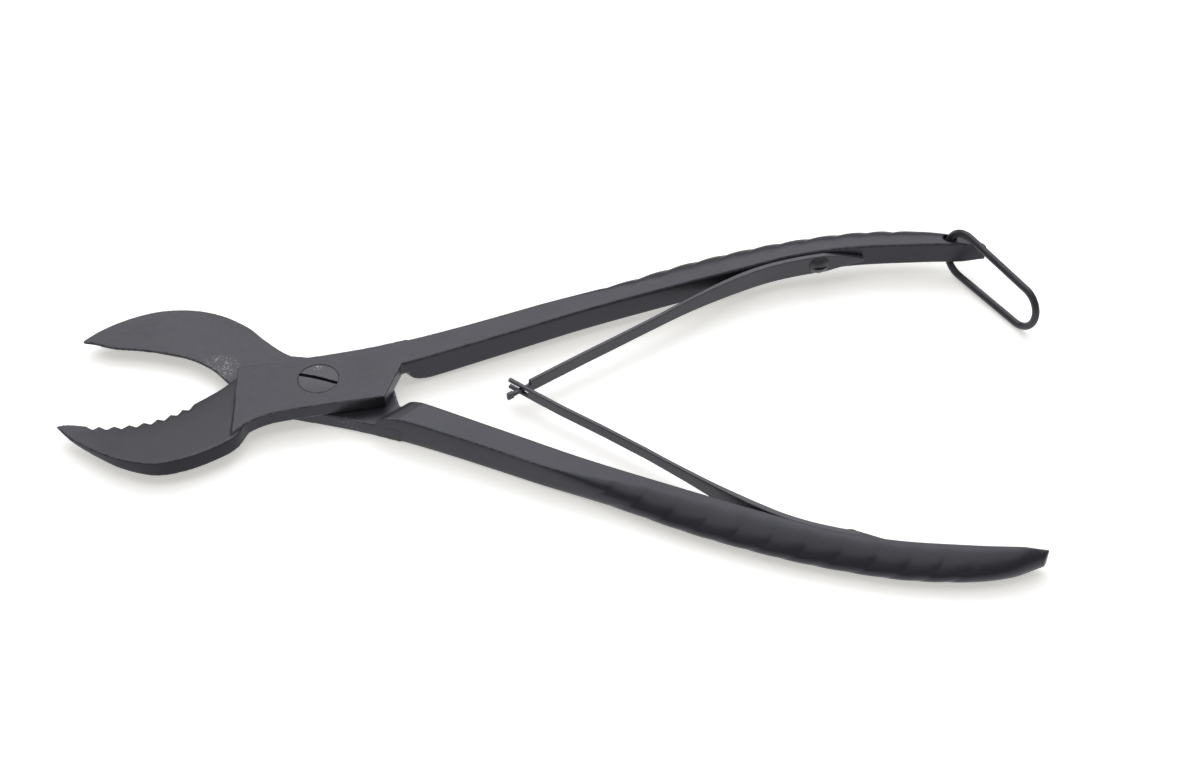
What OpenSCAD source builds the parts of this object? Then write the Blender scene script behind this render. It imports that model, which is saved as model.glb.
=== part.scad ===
// Coral cutter: two lap-jointed forgings on a slotted pivot screw, reopened by a
// pair of interlocking leaf springs and held shut by a loose wire ring.
// Millimetres. The origin is on the pivot axis at the underside of the lap, +Z is up,
// +X runs to the tails of the handles and +Y to the handle that carries the ring.

/* [Pose] */
// Angle between the two halves when the springs have opened the tool
open_angle = 28; // [26:1:30]
// Direction in which the locking ring hangs at rest, measured from +X
ring_direction = -56; // [-56:1:-40]

/* [Lap joint] */
// Thickness of each lap plate
lap_t = 3.3; // [3:0.1:3.8]
// Running gap between the two lap faces
lap_gap = 0.06; // [0.04:0.01:0.12]
// Diameter of the pivot screw's shank
pivot_d = 4.9; // [4:0.1:5.4]
// Diameter of the pivot screw's head
head_d = 8.7; // [8.2:0.1:9.2]
// Height of the pivot screw's head
head_h = 1.6; // [1.2:0.1:1.9]

/* [Jaws] */
// Height of the spine where the jaw leaves the lap
spine_h = 3.0; // [2.6:0.1:3.1]
// Height of the land along the cutting edge
edge_h = 0.6; // [0.4:0.05:0.9]
// Number of teeth on the serrated jaw
teeth = 8; // [4:1:10]
// Depth of the notches between the teeth
tooth_depth = 1.0; // [0.4:0.1:1.3]

/* [Handles] */
// Half height of the handle where it leaves the lap
handle_h = 3.3; // [3:0.1:3.3]
// Half height of the fluted grip
grip_h = 2.9; // [2.6:0.05:3]
// Half height near the tail
tail_h = 2.85; // [2.4:0.05:2.9]
// Spacing of the flutes along the grip
flute_pitch = 6.9; // [5:0.1:9]
// Depth of the flutes
flute_depth = 0.4; // [0:0.02:0.6]
// How far a flute leans along the handle for each millimetre of height
flute_lean = 1.6; // [0:0.1:2]

/* [Leaf springs] */
// Thickness of the spring strip
leaf_t = 0.9; // [0.6:0.05:1.1]
// Height of the strip at its root
leaf_root_h = 4.6; // [4:0.1:5]
// Height of the strip at its tip
leaf_tip_h = 2.3; // [2:0.1:3]
// Height of the neck that passes through the fork
neck_h = 0.9; // [0.6:0.05:1]

/* [Spring screws] */
// Diameter of the round head
stud_head_d = 4.9; // [4.4:0.1:5.2]
// Height of the round head
stud_head_h = 1.3; // [1:0.1:1.6]
// Diameter of the shank
stud_d = 2; // [1.6:0.1:2.4]

/* [Locking ring] */
// Diameter of the wire
wire_d = 1.7; // [1.4:0.1:1.8]
// Radius of the wire's centre line at the end in the tail
ring_r = 5.6; // [5.4:0.1:5.8]
// Radius of the wire's centre line at the free end
ring_far_r = 4.9; // [4.7:0.1:5.4]
// Distance between the centres of the two end bends
ring_len = 19; // [18.5:0.5:19.5]
// Diameter of the hole in the tail
ring_hole_d = 3; // [2.9:0.1:3.2]

/* [Hidden] */
$fn = 64;

steel = [0.20, 0.20, 0.22];
dark_steel = [0.15, 0.15, 0.17];
spring_steel = [0.24, 0.24, 0.26];

half_angle = open_angle / 2;
lap_face = lap_gap / 2;
screw_clear = 0.04;
overlap = 0.01;
far = 60;

// Outlines of one half in plan, turned to where the tool is closed: its handle
// is on +Y and its jaw on -Y, and the pivot is at the origin.
handle_inner = [
    [8, -0.8], [22, 0.8], [40, 4.0], [60, 7.7], [80, 10.6], [98, 12.9],
    [112, 14.4], [126, 13.8], [140, 11.4], [149, 9.5], [155.8, 7.9]
];
handle_outer = [
    [8, 7.0], [22, 7.7], [41, 10.5], [62, 14.3], [83, 18.9], [101, 21.0],
    [115, 21.4], [129, 20.6], [141, 18.1], [149, 14.8], [155.2, 10.2]
];
serrated_outer = [
    [-10, -7.2], [-15, -8.4], [-19, -13.3], [-23.5, -15.6], [-30, -17.3],
    [-36.5, -17.1], [-43, -13.5], [-48, -8.7], [-52.3, -3.7], [-55.2, 1.1]
];
serrated_inner = [
    [-10, 7.2], [-16, 7.4], [-20.5, 4.5], [-25.5, 1.9], [-30.5, -0.2],
    [-36, -1.5], [-42, -1.4], [-48, -0.2], [-52.6, 1.4], [-55.3, 1.7]
];
smooth_outer = [
    [-5, -7.6], [-11, -8.8], [-17, -11.7], [-22, -14.6], [-29, -16.7],
    [-36, -16.7], [-43, -14.5], [-49, -10.2], [-53.2, -5.4], [-55.5, -1.4]
];
smooth_inner = [
    [-5, 7.0], [-13, 6.6], [-19.5, 3.1], [-24.5, 0], [-30, -1.8],
    [-36, -2.2], [-42, -1.8], [-48, -0.9], [-52.7, -1.1], [-55.1, -0.8]
];

// The lap plate's outline seen from above, its front edge first.
plate_outline = concat(
    [[-16.3, 7.5], [-17.4, 1.5], [-18.3, -4.0], [-19.9, -12.0]],
    bend([-19.9, -12.0], [-15.6, -8.2], [-10, -7.85], 6),
    [[-5, -7.8], [4.5, -8.1], [12.9, -8.5], [18.1, 0.4]],
    bend([18.1, 0.4], [19.4, 4.0], [20.5, 7.65], 4),
    bend([16, 7.1], [2, 6.7], [-16.3, 7.5], 8)
);

// A smooth curve through points P, where t runs from 0 to len(P) - 1.
function along(P, t) =
    let (n = len(P) - 1, i = min(floor(t), n - 1), f = t - i,
         a = P[max(i - 1, 0)], b = P[i], c = P[i + 1], d = P[min(i + 2, n)])
    0.5 * (2 * b + (c - a) * f + (2 * a - 5 * b + 4 * c - d) * f * f
        + (3 * b - a - 3 * c + d) * f * f * f);

// Points of a bend from a to c that is drawn towards b.
function bend(a, b, c, n) = [
    for (i = [1:n]) let (t = i / n) (1 - t) * (1 - t) * a + 2 * t * (1 - t) * b + t * t * c
];

// 0 before a, 1 after b, and smooth between them.
function ease(a, b, x) = let (t = max(0, min(1, (x - a) / (b - a)))) t * t * (3 - 2 * t);

function mix(a, b, t) = a + (b - a) * t;

// A closed solid through a list of rings that all have the same number of points.
module loft(rings) {
    n = len(rings[0]);
    last = len(rings) - 1;
    points = [for (r = rings) each r];
    sides = [
        for (i = [0:last - 1]) for (j = [0:n - 1])
            let (a = i * n + j, b = i * n + (j + 1) % n)
            each [[a, b, b + n], [a, b + n, a + n]]
    ];
    first_cap = [for (j = [n - 1:-1:0]) j];
    last_cap = [for (j = [0:n - 1]) last * n + j];
    polyhedron(points, concat(sides, [first_cap, last_cap]), convexity = 8);
}

/* The handle */

neck_steps = 24;
flute_steps = 96;
tail_steps = 12;
flutes_from = 3;
flutes_to = 8.2;
arc_steps = 10;
tail_drop = 0.3;
inner_chamfer = 0.85;
grip_chamfer = 0.55;
corner_r = 0.9;
grip_round = 0.62;
corner_power = 0.45;
grip_power = 0.85;
handle_last = len(handle_inner) - 1;

// Half height of the handle at x along it.
function handle_half(x) =
    mix(mix(handle_h, grip_h, ease(15, 62, x)), tail_h, ease(118, 146, x))
        * (1 - tail_drop * ease(150, 156, x));

// Radius across the outer side, small on the square part and large on the grip.
function outer_r(x, w) = mix(corner_r, grip_round * w, ease(48, 78, x));

// Depth of the notches between the flutes at x along the handle and height z.
function flute(x, z) =
    flute_depth * ease(60, 68, x) * (1 - ease(136, 143, x))
        * (1 - pow(abs(sin(180 * (x + flute_lean * z) / flute_pitch)), 0.7));

// One cross-section, as fractions between the inner and the outer outline.
function handle_ring(t) =
    let (a = along(handle_inner, t), b = along(handle_outer, t), w = norm(b - a),
         out = (b - a) / w, x = a.x, h = handle_half(x), r = outer_r(x, w),
         c = mix(inner_chamfer, grip_chamfer, ease(48, 78, x)),
         power = mix(corner_power, grip_power, ease(48, 78, x)))
    concat(
        [[a.x + out.x * c, a.y + out.y * c, -h], [a.x, a.y, -h + c],
         [a.x, a.y, h - c], [a.x + out.x * c, a.y + out.y * c, h]],
        [for (k = [0:arc_steps])
            let (u = 90 - 180 * k / arc_steps, z = h * sign(sin(u)) * pow(abs(sin(u)), power),
                 bulge = r * pow(max(cos(u), 0), power),
                 n = w - r + bulge - flute(x, z) * pow(max(cos(u), 0), 0.5))
            [a.x + out.x * n, a.y + out.y * n, z]]
    );

module handle_bar() {
    stations = concat(
        [for (i = [0:neck_steps - 1]) mix(0, flutes_from, i / neck_steps)],
        [for (i = [0:flute_steps - 1]) mix(flutes_from, flutes_to, i / flute_steps)],
        [for (i = [0:tail_steps]) mix(flutes_to, handle_last, i / tail_steps)]
    );
    loft([for (t = stations) handle_ring(t)]);
}

// The handle has its full height only behind the shoulder, which stops the other lap.
shoulder_a = [19.9, 0.2];
shoulder_b = [14.3, 8.0];

// Its edge is rounded off: distance behind the shoulder, and height.
shoulder_round = [
    [0, -0.9], [-0.4, -1.6], [-1.1, -2.3], [-2.2, -2.8], [-3.8, -3.15], [-5, -3.35], [-5.5, -far]
];

module below_shoulder() {
    out = shoulder_b - shoulder_a;
    translate([shoulder_a.x, shoulder_a.y, 0])
        rotate([0, 0, atan2(out.y, out.x)])
            rotate([90, 0, 90])
                linear_extrude(far, center = true)
                    polygon(concat(
                        [[far, lap_face], [0, lap_face]], shoulder_round, [[far, -far]]
                    ));
}

/* The jaw */

jaw_last = len(serrated_outer) - 1;
tooth_from = 3.23;
tooth_to = 7.25;
tooth_steps = 6;
plain_steps = 18;
tip_h = 0.65;
land_w = 1.7;

// How far the edge is cut back at t along the jaw, in pointed teeth.
function notch(t, toothed) =
    !toothed || t < tooth_from || t > tooth_to ? 0 :
    let (p = (t - tooth_from) / (tooth_to - tooth_from) * teeth, f = p - floor(p))
    tooth_depth * (1 - abs(2 * f - 1));

// Height of the spine at t along the jaw.
function spine(t) = mix(spine_h, tip_h, ease(4.4, jaw_last, t));

// Distance of the spine's crease from the jaw's outer edge.
function crease(t) = mix(mix(1.6, 2.9, ease(0.5, 3.5, t)), 0.35, ease(4.2, 7.6, t));

function jaw_ring(t, inner, outer, toothed) =
    let (a0 = along(inner, t), b = along(outer, t), w = norm(b - a0), out = (b - a0) / w,
         cut = min(notch(t, toothed), 0.3 * w), h = spine(t), e = min(edge_h, h * 0.8),
         k = min(crease(t), w * 0.4), run = w - k, land = min(land_w, run * 0.45),
         at = [
             [cut, lap_face], [cut, e], [land, mix(e, h, 0.14)],
             [mix(land, run, 0.3), mix(e, h, 0.42)], [mix(land, run, 0.65), mix(e, h, 0.78)],
             [w - k, h], [w - 0.5 * k, 0.62 * h], [w - 0.04 * k, 0.12 * h], [w, lap_face]
         ])
    [for (p = at) [a0.x + out.x * p[0], a0.y + out.y * p[0], p[1]]];

module jaw(inner, outer, toothed) {
    before = [for (i = [0:13]) tooth_from * i / 14];
    in_teeth = [
        for (i = [0:teeth * tooth_steps - 1]) mix(tooth_from, tooth_to, i / (teeth * tooth_steps))
    ];
    plain = [for (i = [0:plain_steps - 1]) mix(tooth_from, tooth_to, i / plain_steps)];
    after = [for (i = [0:5]) mix(tooth_to, jaw_last, i / 5)];
    stations = concat(before, toothed ? in_teeth : plain, after);
    loft([for (t = stations) jaw_ring(t, inner, outer, toothed)]);
}

/* One forging, turned to the closed position, with its lap above the mid-plane */

module forging(inner, outer, toothed) {
    difference() {
        union() {
            difference() {
                handle_bar();
                below_shoulder();
            }
            translate([0, 0, lap_face]) linear_extrude(lap_t - lap_face) polygon(plate_outline);
            jaw(inner, outer, toothed);
        }
        stud_place() cylinder(r = stud_d / 2 + thread_clear, h = stud_len + 0.2);
    }
}

// The foot of the spring screw on the handle's inner face, its axis into the handle.
stud_t = 6.36;
stud_len = 3.2;
thread_clear = 0.02;
foot = 0.5;

module stud_place() {
    at = along(handle_inner, stud_t);
    ahead = along(handle_inner, stud_t + 0.1) - along(handle_inner, stud_t - 0.1);
    translate([at.x, at.y, 0])
        rotate([0, 0, atan2(ahead.y, ahead.x)])
            rotate([-90, 0, 0])
                translate([0, 0, -foot]) children();
}

// Turns a half from the closed position to where it stands, above or below the mid-plane.
module upper_place() {
    translate([0, 0, lap_t]) rotate([0, 0, half_angle]) children();
}

module lower_place() {
    translate([0, 0, lap_t]) rotate([180, 0, 0]) rotate([0, 0, half_angle]) children();
}

/* Locking ring and its hole, in the plan of the closed upper half */

ring_hole = [148.2, 12.4];
ring_pitch = 2.1;
ring_lean = -6;
ring_grip = 8;
ring_back = 0.25;
ring_taper = asin((ring_r - ring_far_r) / ring_len);
strand_ease = 0.02;
strand_lap = 0.25;
mouth_r = 2.4;
mouth_depth = 1.1;
top_mouth_r = 1.8;
top_mouth_depth = 0.4;

module ring_hole_cut() {
    r = ring_hole_d / 2;
    translate([ring_hole.x, ring_hole.y, 0]) {
        translate([0, 0, -far]) cylinder(r = r, h = 2 * far);
        translate([0, 0, -tail_h - mouth_depth])
            cylinder(r1 = 2 * mouth_r - r, r2 = r, h = 2 * mouth_depth);
        translate([0, 0, tail_h - top_mouth_depth])
            cylinder(r1 = r, r2 = 2 * top_mouth_r - r, h = 2 * top_mouth_depth);
    }
}

module locking_ring() {
    color(steel)
    upper_place()
    translate([ring_hole.x, ring_hole.y, 0])
    rotate([0, 0, ring_direction - half_angle])
    rotate([0, ring_pitch, 0])
    rotate([90 + ring_lean, 0, 0])
    translate([ring_r * cos(ring_grip) - ring_back, ring_r * sin(ring_grip), 0]) {
        rotate([0, 0, 90 - ring_taper]) ring_bend(ring_r, 180 + 2 * ring_taper);
        translate([ring_len, 0, 0])
            rotate([0, 0, ring_taper - 90]) ring_bend(ring_far_r, 180 - 2 * ring_taper);
        ring_strand();
        mirror([0, 1, 0]) ring_strand();
    }
}

module ring_bend(r, turn) {
    rotate_extrude(angle = turn) translate([r, 0]) circle(d = wire_d);
}

// The strand is a hair thinner than the bends and runs a little way into both.
module ring_strand() {
    rotate([0, 0, -ring_taper])
        translate([-strand_lap, ring_r, 0])
            rotate([0, 90, 0])
                cylinder(d = wire_d - strand_ease, h = ring_len * cos(ring_taper) + 2 * strand_lap);
}

/* The two halves */

module serrated_half() {
    color(steel)
    upper_place()
    difference() {
        forging(serrated_inner, serrated_outer, true);
        translate([0, 0, -1]) cylinder(d = pivot_d + 2 * screw_clear, h = lap_t + 2);
        translate([0, 0, lap_t - head_h - screw_clear]) cylinder(d = head_d + 0.1, h = head_h + 1);
        ring_hole_cut();
    }
}

module smooth_half() {
    color(steel)
    lower_place()
    difference() {
        forging(smooth_inner, smooth_outer, false);
        translate([0, 0, -1]) cylinder(d = pivot_d + 2 * screw_clear, h = lap_t + 2);
    }
}

/* Pivot screw, standing in the lower half */

slot_w = 1.0;
slot_depth = 0.9;
slot_direction = -17;
head_crown = 0.12;

module pivot_screw() {
    top = 2 * lap_t;
    r = head_d / 2;
    crown_r = (r * r + head_crown * head_crown) / (2 * head_crown);
    color(dark_steel)
    difference() {
        union() {
            cylinder(d = pivot_d, h = top - head_h + overlap);
            intersection() {
                translate([0, 0, top - head_h]) cylinder(d = head_d, h = head_h + 1);
                translate([0, 0, top + head_crown - crown_r]) sphere(r = crown_r, $fn = 128);
            }
        }
        rotate([0, 0, slot_direction])
            translate([-r - 1, -slot_w / 2, top - slot_depth]) cube([head_d + 2, slot_w, 2]);
    }
}

/* Leaf springs, in the plan of a closed half */

leaf_gap = 0.03;
leaf_tip = [42.9, -10.45];
leaf_leave = 5.68;
leaf_end = 7.12;
root_reach = 14;
tip_reach = 38;

// Middle line of the strip: along the handle first, then out to the tip.
function leaf_on_handle(t) =
    let (a = along(handle_inner, t),
         v = along(handle_inner, t + 0.05) - along(handle_inner, t - 0.05), u = v / norm(v))
    a + [u.y, -u.x] * (leaf_t / 2 + leaf_gap);

leaf_start = leaf_on_handle(leaf_leave);
leaf_c1 = leaf_start + root_reach * (leaf_start - leaf_on_handle(leaf_leave + 0.2))
    / norm(leaf_start - leaf_on_handle(leaf_leave + 0.2));
leaf_slope = 22.5;
leaf_c2 = leaf_tip + tip_reach * [cos(leaf_slope), sin(leaf_slope)];

function leaf_free(t) =
    pow(1 - t, 3) * leaf_start + 3 * pow(1 - t, 2) * t * leaf_c1
        + 3 * (1 - t) * t * t * leaf_c2 + pow(t, 3) * leaf_tip;

leaf_beyond = 4.4;
leaf_line = concat(
    [for (i = [0:9]) leaf_on_handle(mix(leaf_end, leaf_leave, i / 10))],
    [for (i = [0:20]) leaf_free(i / 20)],
    [leaf_tip - leaf_beyond * [cos(leaf_slope), sin(leaf_slope)]]
);

function leaf_side(i, s) =
    let (n = len(leaf_line) - 1,
         v = leaf_line[min(i + 1, n)] - leaf_line[max(i - 1, 0)], u = v / norm(v))
    leaf_line[i] + s * leaf_t / 2 * [-u.y, u.x];

leaf_plan = concat(
    [for (i = [0:len(leaf_line) - 1]) leaf_side(i, 1)],
    [for (i = [len(leaf_line) - 1:-1:0]) leaf_side(i, -1)]
);

// Elevation of the strip over its plan: a pointed root, a taper and a narrow end.
module leaf_elevation(end_half) {
    tip = leaf_tip_h / 2;
    root = leaf_root_h / 2;
    upper = concat(
        [[leaf_tip.x - 6, end_half], [leaf_tip.x + 1.0, end_half], [leaf_tip.x + 1.6, tip]],
        [for (i = [0:8]) let (x = mix(60, 100, i / 8)) [x, mix(tip, root, ease(58, 102, x))]],
        [[118.5, root], [127.5, 0.4]]
    );
    rotate([90, 0, 0])
        linear_extrude(2 * far, center = true)
            polygon(concat(upper, [for (i = [len(upper) - 1:-1:0]) [upper[i].x, -upper[i].y]]));
}

module leaf_strip(end_half) {
    difference() {
        intersection() {
            translate([0, 0, -leaf_root_h]) linear_extrude(2 * leaf_root_h) polygon(leaf_plan);
            leaf_elevation(end_half);
        }
        stud_place() translate([0, 0, -3]) cylinder(r = stud_d / 2 + 0.1, h = 6);
    }
}

// Places things at the tip of a strip, X along it and away from the handle.
module at_tip() {
    translate([leaf_tip.x, leaf_tip.y, 0]) rotate([0, 0, 180 + leaf_slope]) children();
}

cross_h = 1.65;
cross_w = 1.5;

module upper_leaf_spring() {
    color(spring_steel)
    upper_place()
    union() {
        leaf_strip(neck_h / 2);
        at_tip() translate([leaf_beyond - cross_w, -leaf_t / 2, -cross_h / 2])
            cube([cross_w, leaf_t, cross_h]);
    }
}

fork_slot_h = 1.1;
fork_slot_back = 1.1;

module lower_leaf_spring() {
    color(spring_steel)
    lower_place()
    difference() {
        leaf_strip(leaf_tip_h / 2);
        at_tip() translate([-fork_slot_back, -2, -fork_slot_h / 2]) cube([8, 4, fork_slot_h]);
    }
}

/* Spring screws */

stud_slot_w = 0.7;
stud_slot_depth = 0.6;

module stud() {
    r = stud_head_d / 2;
    dome = (r * r + stud_head_h * stud_head_h) / (2 * stud_head_h);
    seat = foot - leaf_t - 3 * leaf_gap;
    slot_floor = seat - stud_head_h + stud_slot_depth;
    difference() {
        union() {
            translate([0, 0, seat - overlap]) cylinder(d = stud_d, h = stud_len - seat);
            intersection() {
                translate([0, 0, seat - stud_head_h]) cylinder(d = stud_head_d, h = stud_head_h);
                translate([0, 0, seat - stud_head_h + dome]) sphere(r = dome, $fn = 96);
            }
        }
        translate([-r - 1, -stud_slot_w / 2, slot_floor - 2]) cube([2 * r + 2, stud_slot_w, 2]);
    }
}

module upper_spring_screw() {
    color(dark_steel) upper_place() stud_place() stud();
}

module lower_spring_screw() {
    color(dark_steel) lower_place() stud_place() stud();
}

serrated_half();
smooth_half();
pivot_screw();
upper_leaf_spring();
lower_leaf_spring();
upper_spring_screw();
lower_spring_screw();
locking_ring();
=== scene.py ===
import math

import bpy
import numpy as np
from mathutils import Matrix, Vector
from mathutils.kdtree import KDTree


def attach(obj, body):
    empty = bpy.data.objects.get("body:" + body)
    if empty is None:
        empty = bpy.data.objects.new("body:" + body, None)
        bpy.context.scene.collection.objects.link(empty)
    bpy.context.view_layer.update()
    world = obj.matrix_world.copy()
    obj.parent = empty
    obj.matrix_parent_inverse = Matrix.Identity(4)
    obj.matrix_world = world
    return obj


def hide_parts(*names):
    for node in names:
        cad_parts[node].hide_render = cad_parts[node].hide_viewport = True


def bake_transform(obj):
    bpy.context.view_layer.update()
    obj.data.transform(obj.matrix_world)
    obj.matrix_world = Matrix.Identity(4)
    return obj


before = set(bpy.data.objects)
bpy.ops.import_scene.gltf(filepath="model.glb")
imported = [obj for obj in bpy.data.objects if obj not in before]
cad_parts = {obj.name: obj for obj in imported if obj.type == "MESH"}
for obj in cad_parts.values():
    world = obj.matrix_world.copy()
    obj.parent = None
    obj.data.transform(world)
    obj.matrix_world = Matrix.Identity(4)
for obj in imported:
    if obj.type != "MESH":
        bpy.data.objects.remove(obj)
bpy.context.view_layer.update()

MM = 0.001
scene = bpy.context.scene

# Camera: where the picture was taken from, in pixels, degrees and millimetres.

PICTURE_W = 1200
FOCAL_PX = 1963.95
ELEVATION = 45.295
AZIMUTH = -0.212
ROLL = 0.431
DISTANCE = 421.37
OFFSET_X = 60.133
OFFSET_Y = -0.536
MID_PLANE = 3.3


def camera_axes():
    """Right, up and backward unit vectors of the camera, in the object's frame."""
    el, az, roll = (math.radians(a) for a in (ELEVATION, AZIMUTH, ROLL))
    back = np.array([math.sin(az) * math.cos(el), -math.cos(az) * math.cos(el), math.sin(el)])
    level = np.array([math.cos(az), math.sin(az), 0.0])
    up = np.cross(back, level)
    right = math.cos(roll) * level + math.sin(roll) * up
    up = -math.sin(roll) * level + math.cos(roll) * up
    return right, up, back


def make_camera():
    """The camera at the picture's angle, aimed beside the pivot at the height of the lap's middle."""
    right, up, back = camera_axes()
    data = bpy.data.cameras.new("camera")
    data.sensor_fit = "HORIZONTAL"
    data.sensor_width = 36.0
    data.lens = data.sensor_width * FOCAL_PX / PICTURE_W
    data.clip_start = 0.01
    data.clip_end = 20.0
    camera = bpy.data.objects.new("camera", data)
    place = (OFFSET_X * right + OFFSET_Y * up + DISTANCE * back) * MM
    place[2] += MID_PLANE * MM
    turn = Matrix((right, up, back)).transposed().to_4x4()
    camera.matrix_world = Matrix.Translation(Vector(place)) @ turn
    scene.collection.objects.link(camera)
    scene.camera = camera


# Shape tools. Lengths are in millimetres until a mesh is made.

OPEN_ANGLE = 28.0
HALF_ANGLE = OPEN_ANGLE / 2
# Thickness of a lap plate, the gap that each one leaves to the middle, and a length that clears everything.
LAP_T, LAP_FACE, FAR = 3.3, 0.03, 60.0


def mix(a, b, t):
    """A share t of the way from a to b."""
    return a + (b - a) * t


def ease(a, b, x):
    """0 before a, 1 after b, and a smooth step between them."""
    t = min(1.0, max(0.0, (x - a) / (b - a)))
    return t * t * (3 - 2 * t)


def along(points, t):
    """A smooth curve through the points, t from 0 to len(points) - 1."""
    n = len(points) - 1
    i = min(int(math.floor(t)), n - 1)
    f = t - i
    a, b, c, d = (np.array(points[k], float) for k in (max(i - 1, 0), i, i + 1, min(i + 2, n)))
    return 0.5 * (2 * b + (c - a) * f + (2 * a - 5 * b + 4 * c - d) * f * f
                  + (3 * b - a - 3 * c + d) * f ** 3)


def bend(a, b, c, n):
    """Points of a bend from a to c, drawn towards b, without a itself."""
    a, b, c = (np.array(p, float) for p in (a, b, c))
    return [(1 - t) ** 2 * a + 2 * t * (1 - t) * b + t * t * c for t in np.arange(1, n + 1) / n]


def unit(v):
    return v / np.linalg.norm(v)


def loft(rings):
    """Vertices and faces of a closed solid through rings of equally many points."""
    n, last = len(rings[0]), len(rings) - 1
    verts = [tuple(p) for ring in rings for p in ring]
    faces = []
    for i in range(last):
        for j in range(n):
            a, b = i * n + j, i * n + (j + 1) % n
            faces.append((a, a + n, b + n, b))
    faces.append(tuple(range(n)))
    faces.append(tuple(last * n + j for j in range(n - 1, -1, -1)))
    return verts, faces


def prism(outline, low, high):
    """A plan outline, counter-clockwise seen from above, drawn up from low to high."""
    n = len(outline)
    verts = [(p[0], p[1], low) for p in outline] + [(p[0], p[1], high) for p in outline]
    faces = [tuple(range(n - 1, -1, -1)), tuple(range(n, 2 * n))]
    faces += [(j, (j + 1) % n, (j + 1) % n + n, j + n) for j in range(n)]
    return verts, faces


def turned(profile, segments=96):
    """A solid of revolution about Z from (radius, z) points, lowest first, that start and end on the axis."""
    verts, faces = [(0.0, 0.0, profile[0][1])], []
    rings = profile[1:-1]
    for r, z in rings:
        for k in range(segments):
            a = 2 * math.pi * k / segments
            verts.append((r * math.cos(a), r * math.sin(a), z))
    verts.append((0.0, 0.0, profile[-1][1]))
    top = len(verts) - 1
    for k in range(segments):
        nxt = (k + 1) % segments
        faces.append((0, 1 + nxt, 1 + k))
        for i in range(len(rings) - 1):
            a, b = 1 + i * segments + k, 1 + i * segments + nxt
            faces.append((a, b, b + segments, a + segments))
        last = 1 + (len(rings) - 1) * segments
        faces.append((last + k, last + nxt, top))
    return verts, faces


def cylinder(r, low, high, segments=96):
    return turned([(0, low), (r, low), (r, high), (0, high)], segments)


def cone(r1, r2, low, high, segments=96):
    return turned([(0, low), (r1, low), (r2, high), (0, high)], segments)


def box(lo, hi):
    """A cutter's block from its lowest to its highest corner."""
    return prism([(lo[0], lo[1]), (hi[0], lo[1]), (hi[0], hi[1]), (lo[0], hi[1])], lo[2], hi[2])


def moved(shape, matrix):
    verts, faces = shape
    return [tuple(matrix @ Vector(v)) for v in verts], faces


def shift(x, y, z):
    return Matrix.Translation((x, y, z))


def turn(angle, axis):
    return Matrix.Rotation(math.radians(angle), 4, axis)


def upper_place():
    """From a closed half's own plan to where the upper half lies."""
    return shift(0, 0, LAP_T) @ turn(HALF_ANGLE, "Z")


def lower_place():
    """The same for the lower half, which is turned over."""
    return shift(0, 0, LAP_T) @ turn(180, "X") @ turn(HALF_ANGLE, "Z")


# Mesh tools


def mesh_object(name, shape):
    mesh = bpy.data.meshes.new(name)
    mesh.from_pydata(shape[0], [], shape[1])
    mesh.update()
    obj = bpy.data.objects.new(name, mesh)
    scene.collection.objects.link(obj)
    return obj


def settle(obj):
    """Applies the object's modifiers."""
    graph = bpy.context.evaluated_depsgraph_get()
    mesh = bpy.data.meshes.new_from_object(obj.evaluated_get(graph))
    old = obj.data
    obj.modifiers.clear()
    obj.data = mesh
    bpy.data.meshes.remove(old)


def carve(obj, shape, operation="DIFFERENCE"):
    """Cuts a shape out of an object, or joins it on with UNION."""
    tool = mesh_object("tool", shape)
    cut = obj.modifiers.new("cut", "BOOLEAN")
    cut.operation = operation
    cut.solver = "MANIFOLD"
    cut.object = tool
    settle(obj)
    data = tool.data
    bpy.data.objects.remove(tool)
    bpy.data.meshes.remove(data)


def neighbours(mesh):
    """The mesh's edges as pairs of point numbers."""
    edges = np.zeros(len(mesh.edges) * 2, np.int64)
    mesh.edges.foreach_get("vertices", edges)
    return edges.reshape(-1, 2)


def spread(values, edges, times):
    """Averages values over the mesh's edges, times over."""
    n = len(values)
    both = np.concatenate([edges, edges[:, ::-1]])
    count = np.bincount(both[:, 0], minlength=n).clip(1)
    values = np.array(values, float)
    for _ in range(times):
        if values.ndim == 1:
            total = np.bincount(both[:, 0], weights=values[both[:, 1]], minlength=n)
            values = 0.5 * values + 0.5 * total / count
        else:
            total = np.stack([
                np.bincount(both[:, 0], weights=values[both[:, 1], k], minlength=n)
                for k in range(values.shape[1])
            ], -1)
            values = 0.5 * values + 0.5 * total / count[:, None]
    return values


def read_points(mesh):
    co = np.zeros(len(mesh.vertices) * 3, np.float32)
    mesh.vertices.foreach_get("co", co)
    return co.reshape(-1, 3).astype(float)


def write_points(mesh, co):
    mesh.vertices.foreach_set("co", co.astype(np.float32).ravel())
    mesh.update()


def read_normals(mesh):
    no = np.zeros(len(mesh.vertices) * 3, np.float32)
    mesh.vertex_normals.foreach_get("vector", no)
    return no.reshape(-1, 3).astype(float)


def store(mesh, name, values):
    """Keeps one number for each point, for the material to read."""
    attribute = mesh.attributes.get(name) or mesh.attributes.new(name, "FLOAT", "POINT")
    attribute.data.foreach_set("value", np.asarray(values, np.float32))


# The percentile of height that counts as a fully worn edge, or a hollow in full painted shade, and the angle
# from which an edge stays sharp.
RELIEF_SHARE, SHARP_ANGLE = 97, 55


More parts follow.
